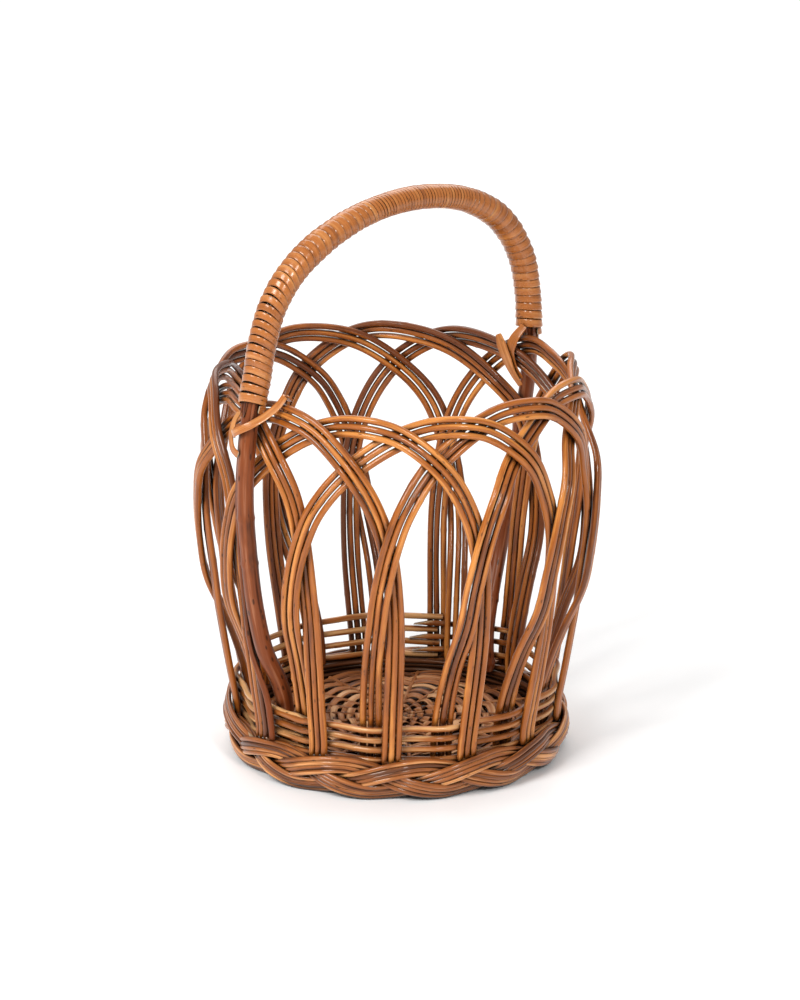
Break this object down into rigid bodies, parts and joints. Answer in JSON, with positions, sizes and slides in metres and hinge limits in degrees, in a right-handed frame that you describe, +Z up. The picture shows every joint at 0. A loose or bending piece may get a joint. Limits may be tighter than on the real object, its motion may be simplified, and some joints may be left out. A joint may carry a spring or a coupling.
{
  "type": "storage basket",
  "caption": "Round open willow basket with a wall of overlapping looped rods, a woven foot with a plaited border and a fixed cane-wrapped hoop handle.",
  "frame": {"origin": "on the floor under the middle of the basket", "axes": "+Z up, -Y towards the viewer of the picture, +X to the right"},
  "size_m": [0.2378, 0.2376, 0.3377],
  "materials": {
    "wall_rod": "clear varnish over peeled willow",
    "weaver_rod": "clear varnish over peeled willow",
    "bark_rod": "satin bark",
    "cane": "glossy flat cane",
    "base_weave": "varnished split willow",
    "plait": "varnished willow plait"
  },
  "bodies": {
    "root": {"loop_01_outer_rod": "wall_rod", "loop_01_middle_rod": "wall_rod", "loop_01_inner_rod": "wall_rod", "loop_02_outer_rod": "wall_rod", "loop_02_middle_rod": "wall_rod", "loop_02_inner_rod": "wall_rod", "loop_03_outer_rod": "wall_rod", "loop_03_middle_rod": "wall_rod", "loop_03_inner_rod": "wall_rod", "loop_04_outer_rod": "wall_rod", "loop_04_middle_rod": "wall_rod", "loop_04_inner_rod": "wall_rod", "loop_05_outer_rod": "wall_rod", "loop_05_middle_rod": "wall_rod", "loop_05_inner_rod": "wall_rod", "loop_06_outer_rod": "wall_rod", "loop_06_middle_rod": "wall_rod", "loop_06_inner_rod": "wall_rod", "loop_07_outer_rod": "wall_rod", "loop_07_middle_rod": "wall_rod", "loop_07_inner_rod": "wall_rod", "loop_08_outer_rod": "wall_rod", "loop_08_middle_rod": "wall_rod", "loop_08_inner_rod": "wall_rod", "loop_09_outer_rod": "wall_rod", "loop_09_middle_rod": "wall_rod", "loop_09_inner_rod": "wall_rod", "loop_10_outer_rod": "wall_rod", "loop_10_middle_rod": "wall_rod", "loop_10_inner_rod": "wall_rod", "loop_11_outer_rod": "wall_rod", "loop_11_middle_rod": "wall_rod", "loop_11_inner_rod": "wall_rod", "loop_12_outer_rod": "wall_rod", "loop_12_middle_rod": "wall_rod", "loop_12_inner_rod": "wall_rod", "loop_13_outer_rod": "wall_rod", "loop_13_middle_rod": "wall_rod", "loop_13_inner_rod": "wall_rod", "weaver_row_1": "weaver_rod", "weaver_row_2": "weaver_rod", "weaver_row_3": "weaver_rod", "weaver_row_4": "weaver_rod", "tie_left_long": "cane", "tie_left_short": "cane", "tie_right_upright": "cane", "tie_right_slant": "cane", "handle_hoop": "bark_rod", "handle_side_rod": "bark_rod", "handle_cane_wrap": "cane", "base_field": "base_weave", "foot_border_plait": "plait"}
  },
  "joints": []
}
